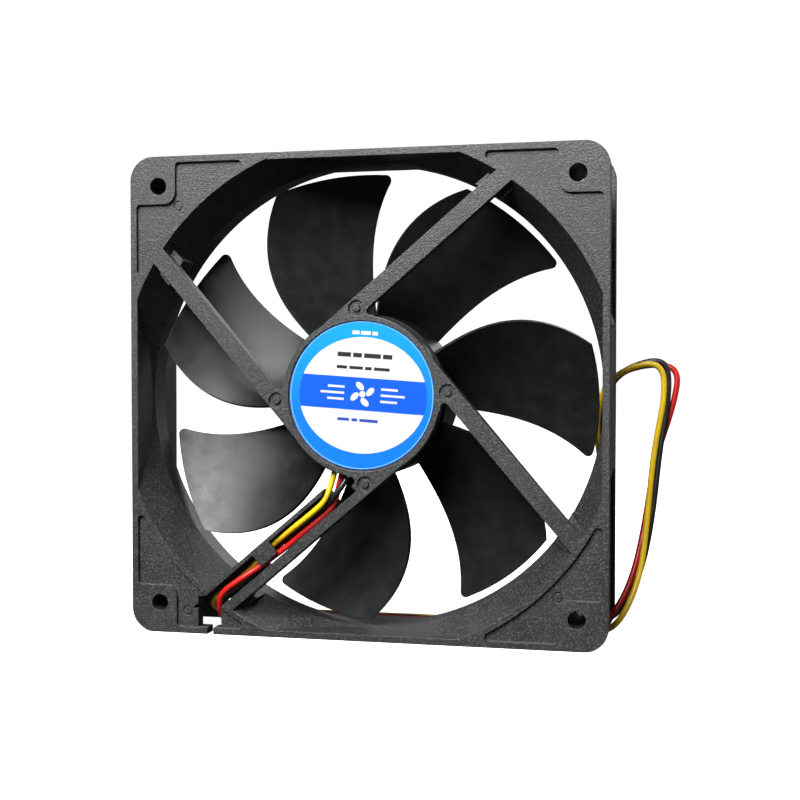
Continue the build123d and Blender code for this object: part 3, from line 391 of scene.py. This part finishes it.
NODE_FINISHES = {
    "frame": frame_plastic(),
    "impeller": impeller_plastic(),
    "base_label": label_film(),
    "sleeve_bearing": porous("sintered_bronze", (0.5, 0.3, 0.14), roughness=0.45, metallic=1.0,
                             scale=3000, depth=0.03 * MM),
    "oil_seal": porous("felt", (0.55, 0.52, 0.42), roughness=0.85, metallic=0.0,
                       scale=2200, depth=0.1 * MM),
    "bearing_plug": plain_plastic("rubber_black", (0.015, 0.015, 0.015), 0.7),
    "stator_core": banded("electrical_steel", (0.1, 0.1, 0.11), (0.42, 0.42, 0.44), scale=320,
                          direction="Y", roughness=0.42, metallic=1.0, depth=0.06 * MM),
    "stator_coils": banded("enamelled_copper", (0.16, 0.045, 0.015), (0.62, 0.24, 0.08),
                           scale=560, direction="Y", roughness=0.3, metallic=0.9,
                           depth=0.08 * MM),
    "circuit_board": board_laminate(),
    "capacitor": plain_plastic("component_tan", (0.42, 0.28, 0.16), 0.5),
    "rotor_yoke": metal("zinc_steel", (0.55, 0.56, 0.58), 0.35, stretch=(1.0, 0.15, 1.0)),
    "magnet_ring": plain_plastic("bonded_ferrite", (0.035, 0.03, 0.03), 0.6, grain=1800,
                                 depth=0.06 * MM),
    "shaft": metal("ground_steel", (0.66, 0.66, 0.68), 0.2, stretch=(1.0, 6.0, 1.0)),
    "shaft_boss": metal("brass", (0.62, 0.43, 0.16), 0.28, stretch=(1.0, 6.0, 1.0)),
}
nylon = plain_plastic("nylon_white", (0.72, 0.71, 0.66), 0.42)
tinned = metal("tinned_metal", (0.66, 0.67, 0.69), 0.32, stretch=(1.0, 1.0, 1.0), scale=1600)
epoxy = plain_plastic("component_black", (0.022, 0.022, 0.024), 0.5, grain=2200, depth=0.04 * MM)
for node in ("front_bobbin", "rear_bobbin", "thrust_washer", "retaining_ring"):
    NODE_FINISHES[node] = nylon
for node in ("terminal_pins", "lead_solder", "plug_terminals"):
    NODE_FINISHES[node] = tinned
for node in ("hall_sensor", "driver_chip", "resistors", "diode"):
    NODE_FINISHES[node] = epoxy
NODE_FINISHES["plug_housing"] = plain_plastic("plug_nylon", (0.74, 0.73, 0.67), 0.38)


def dress(piece, material):
    piece.data.materials.clear()
    piece.data.materials.append(material)


for node, material in NODE_FINISHES.items():
    dress(NODES[node], material)

dress(leads["yellow"], insulation("pvc_yellow", (0.86, 0.58, 0.012)))
dress(leads["red"], insulation("pvc_red", (0.62, 0.012, 0.01)))
dress(leads["black"], insulation("pvc_black", (0.012, 0.012, 0.013), 0.35))

# --- print on the label -------------------------------------------------------

# The print is laid out flat, in millimetres from the label's centre, and then stood up.
LABEL_TILT = -4.0
PRINT_THICKNESS = 0.02 * MM
SHAPE_SEGMENTS = 160
HUB_SEGMENTS = 32
BLADE_SEGMENTS = 40
label_low, label_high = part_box("base_label")
LABEL_CENTRE = (label_low + label_high) / 2
LABEL_FRONT = label_low.y
LABEL_RADIUS = (label_high.x - label_low.x) / 2


def thicken(mesh):
    """Raise all the flat print in a mesh to its thickness."""
    raised = bmesh.ops.extrude_face_region(mesh, geom=mesh.faces[:])["geom"]
    top = [item for item in raised if isinstance(item, bmesh.types.BMVert)]
    bmesh.ops.translate(mesh, verts=top, vec=(0, 0, PRINT_THICKNESS))


def ellipse(mesh, x, z, half_width, half_height, segments=SHAPE_SEGMENTS):
    matrix = Matrix.Translation((x, z, 0)) @ Matrix.Diagonal((half_width, half_height, 1, 1))
    bmesh.ops.create_circle(mesh, cap_ends=True, segments=segments, radius=1, matrix=matrix)


def bar(mesh, x, z, width, height):
    matrix = Matrix.Translation((x, z, 0)) @ Matrix.Diagonal((width / 2, height / 2, 1, 1))
    bmesh.ops.create_grid(mesh, x_segments=1, y_segments=1, size=1, matrix=matrix)


def finish_print(name, mesh, material, layer=0):
    """Stand the flat print up on the label and make it a piece."""
    bmesh.ops.recalc_face_normals(mesh, faces=mesh.faces[:])
    tilt = Matrix.Rotation(math.radians(LABEL_TILT), 4, "Z")
    bmesh.ops.transform(mesh, matrix=tilt, verts=mesh.verts[:])
    bmesh.ops.scale(mesh, vec=(MM, MM, 1), verts=mesh.verts[:])
    upright = Matrix.Rotation(math.radians(90), 4, "X")
    bmesh.ops.transform(mesh, matrix=upright, verts=mesh.verts[:])
    lift = LABEL_FRONT - layer * PRINT_THICKNESS
    bmesh.ops.translate(mesh, verts=mesh.verts[:], vec=(LABEL_CENTRE.x, lift, LABEL_CENTRE.z))
    data = bpy.data.meshes.new(name)
    mesh.to_mesh(data)
    mesh.free()
    piece = bpy.data.objects.new(name, data)
    bpy.context.scene.collection.objects.link(piece)
    dress(piece, material)
    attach(piece, "root")
    return piece


FIELD_CENTRE = 0.35
FIELD_HALF_WIDTH = 16.0
FIELD_HALF_HEIGHT = 14.2
BAND_TOP = 4.3
BAND_BOTTOM = -3.7
EDGE_MARGIN = 0.12
EDGE_LINE_WIDTH = 0.22
SIGN_CENTRE = 0.3
SIGN_RADIUS = 3.3
DASH_CLEARANCE = 4.6
DASH_HEIGHT = 0.55
DASH_LENGTHS = ((-1.5, 4.2), (0, 6.0), (1.5, 4.2))    # height from the band's middle, length


def cut_away(mesh, height, side):
    """Cut the flat print along a level line and keep its upper (1) or lower (-1) part."""
    bmesh.ops.bisect_plane(mesh, geom=mesh.verts[:] + mesh.edges[:] + mesh.faces[:],
                           plane_co=(0, height, 0), plane_no=(0, side, 0), clear_inner=True)


def white_field(side):
    """White part of the print above (side 1) or below (side -1) the blue band."""
    mesh = bmesh.new()
    ellipse(mesh, FIELD_CENTRE, 0, FIELD_HALF_WIDTH, FIELD_HALF_HEIGHT)
    cut_away(mesh, BAND_TOP if side > 0 else BAND_BOTTOM, side)
    thicken(mesh)
    return mesh


def edge_line():
    """Thin pale line round the label's edge."""
    mesh = bmesh.new()
    radius = LABEL_RADIUS / MM - EDGE_MARGIN
    narrower = (radius - EDGE_LINE_WIDTH) / radius
    bmesh.ops.create_circle(mesh, cap_ends=False, segments=SHAPE_SEGMENTS, radius=radius)
    grown = bmesh.ops.extrude_edge_only(mesh, edges=mesh.edges[:])["geom"]
    inner = [item for item in grown if isinstance(item, bmesh.types.BMVert)]
    bmesh.ops.scale(mesh, vec=(narrower, narrower, 1), verts=inner)
    thicken(mesh)
    return mesh


def dash_row(mesh, z, height, start, lengths, gap):
    """A line of plain dashes where a label carries its data."""
    x = start
    for length in lengths:
        bar(mesh, x + length / 2, z, length, height)
        x += length + gap


def data_marks():
    """Two rows of dashes on the upper white field."""
    mesh = bmesh.new()
    dash_row(mesh, z=9.7, height=1.1, start=-6.6, lengths=(3.4, 2.2, 4.2, 2.3), gap=0.55)
    dash_row(mesh, z=6.6, height=0.75, start=-6.6, lengths=(2.6, 3.4, 1.6, 3.9), gap=0.6)
    thicken(mesh)
    return mesh


def origin_marks():
    """One row of dashes on the lower white field."""
    mesh = bmesh.new()
    dash_row(mesh, z=-6.1, height=0.7, start=-5.6, lengths=(3.0, 1.4, 4.6), gap=0.6)
    thicken(mesh)
    return mesh


def fan_sign(mesh, x, z, radius):
    """Small pictogram of a fan: a hub with four blades."""
    hub, blade_place, blade_length, blade_width = (
        radius * share for share in (0.24, 0.62, 0.38, 0.22))
    start_angle, pitch = 20, 28
    ellipse(mesh, x, z, hub, hub, HUB_SEGMENTS)
    for quarter in range(4):
        made = bmesh.ops.create_circle(mesh, cap_ends=True, segments=BLADE_SEGMENTS, radius=1)
        turn = Matrix.Rotation(math.radians(90 * quarter + start_angle), 4, "Z")
        shape = (Matrix.Translation((x, z, 0)) @ turn @ Matrix.Translation((blade_place, 0, 0))
                 @ Matrix.Rotation(math.radians(pitch), 4, "Z")
                 @ Matrix.Diagonal((blade_length, blade_width, 1, 1)))
        bmesh.ops.transform(mesh, matrix=shape, verts=made["verts"])


def band_marks():
    """Pale print on the blue: fan sign with dashes at both sides, and a short row above."""
    mesh = bmesh.new()
    middle = (BAND_TOP + BAND_BOTTOM) / 2
    fan_sign(mesh, SIGN_CENTRE, middle, SIGN_RADIUS)
    for side in (-1, 1):
        for step, length in DASH_LENGTHS:
            away = side * (DASH_CLEARANCE + length / 2)
            bar(mesh, SIGN_CENTRE + away, middle + step, length, DASH_HEIGHT)
    dash_row(mesh, z=15.2, height=0.9, start=-3.2, lengths=(1.8, 2.4, 1.4), gap=0.4)
    thicken(mesh)
    return mesh


def blue_band():
    """Deeper blue band between the two white fields."""
    mesh = bmesh.new()
    ellipse(mesh, FIELD_CENTRE, 0, FIELD_HALF_WIDTH, FIELD_HALF_HEIGHT)
    cut_away(mesh, BAND_BOTTOM, 1)
    cut_away(mesh, BAND_TOP, -1)
    thicken(mesh)
    return mesh


white_ink = print_ink("white_ink", (0.6, 0.61, 0.63))
finish_print("label_field_upper", white_field(1), white_ink)
finish_print("label_field_lower", white_field(-1), white_ink)
finish_print("label_edge_line", edge_line(), print_ink("pale_ink", (0.15, 0.42, 0.9)))
finish_print("label_band", blue_band(), print_ink("band_blue", (0.0, 0.085, 0.72)))
finish_print("label_band_marks", band_marks(), white_ink, 1)
finish_print("label_data_marks", data_marks(), print_ink("black_ink", (0.02, 0.02, 0.022)), 1)
finish_print("label_origin_marks", origin_marks(), print_ink("blue_ink", (0.02, 0.06, 0.32)), 1)

# --- studio -------------------------------------------------------------------

FLOOR_RADIUS = 2.2
FLOOR_BEND = 0.8
FLOOR_SEGMENTS = 96
BEND_STEPS = 12
WALL_HEIGHT = 5.0
PAPER_GLOW = 0.95
WORLD_STRENGTH = 0.06
FAN_CENTRE = (0, 0, 0.06)
LIGHTS = {    # place, target, size, power in watts
    "key": ((-0.2, -0.45, 0.66), FAN_CENTRE, (0.3, 0.3), 9),
    "top": ((-0.05, -0.12, 0.62), FAN_CENTRE, (0.3, 0.2), 1),
    "front": ((-0.2, -0.95, 0.66), (0, 0, 0.1), (0.5, 0.25), 13),
    "rear": ((0.3, 0.8, 0.6), FAN_CENTRE, (0.6, 0.6), 4),
    "side": ((1.0, 0.1, 0.5), FAN_CENTRE, (0.5, 0.5), 2),
}


def raise_rim(mesh, growth, lift):
    """Extrude the open rim outwards by a factor and upwards by a height."""
    rim = [edge for edge in mesh.edges if edge.is_boundary]
    grown = bmesh.ops.extrude_edge_only(mesh, edges=rim)["geom"]
    verts = [item for item in grown if isinstance(item, bmesh.types.BMVert)]
    bmesh.ops.scale(mesh, vec=(growth, growth, 1), verts=verts)
    bmesh.ops.translate(mesh, vec=(0, 0, lift), verts=verts)


def make_sweep():
    """Round pale floor that curves up into a wall on every side."""
    mesh = bmesh.new()
    bmesh.ops.create_circle(mesh, cap_ends=True, segments=FLOOR_SEGMENTS, radius=FLOOR_RADIUS)
    radius, height = FLOOR_RADIUS, 0.0
    for step in range(1, BEND_STEPS + 1):
        angle = math.radians(90 * step / BEND_STEPS)
        wider = FLOOR_RADIUS + FLOOR_BEND * math.sin(angle)
        higher = FLOOR_BEND * (1 - math.cos(angle))
        raise_rim(mesh, wider / radius, higher - height)
        radius, height = wider, higher
    raise_rim(mesh, 1, WALL_HEIGHT)
    bmesh.ops.recalc_face_normals(mesh, faces=mesh.faces[:])
    data = bpy.data.meshes.new("floor")
    mesh.to_mesh(data)
    mesh.free()
    for face in data.polygons:
        face.use_smooth = True
    floor = bpy.data.objects.new("floor", data)
    bpy.context.scene.collection.objects.link(floor)
    finish = Finish("studio_paper", (0.8, 0.8, 0.8), 0.8)
    finish.shader.inputs["Emission Color"].default_value = (1, 1, 1, 1)
    finish.shader.inputs["Emission Strength"].default_value = PAPER_GLOW
    finish.bump(finish.noise(400), 0.05, 0.1 * MM)
    dress(floor, finish.material)
    floor.visible_diffuse = False
    floor.visible_glossy = False


def area_light(name, place, target, size, power):
    """White panel light, aimed at a point and not seen itself."""
    data = bpy.data.lights.new(name, "AREA")
    data.shape = "RECTANGLE"
    data.size, data.size_y = size
    data.energy = power
    light = bpy.data.objects.new(name, data)
    light.location = place
    aim = Vector(target) - Vector(place)
    light.rotation_euler = aim.to_track_quat("-Z", "Y").to_euler()
    light.visible_camera = False
    bpy.context.scene.collection.objects.link(light)


def make_world():
    world = bpy.data.worlds.new("studio")
    world.use_nodes = True
    background = world.node_tree.nodes["Background"]
    background.inputs["Color"].default_value = (1, 1, 1, 1)
    background.inputs["Strength"].default_value = WORLD_STRENGTH
    bpy.context.scene.world = world


make_sweep()
make_world()
for name, (place, target, size, power) in LIGHTS.items():
    area_light(name, place, target, size, power)
bpy.context.scene.view_settings.view_transform = "Standard"
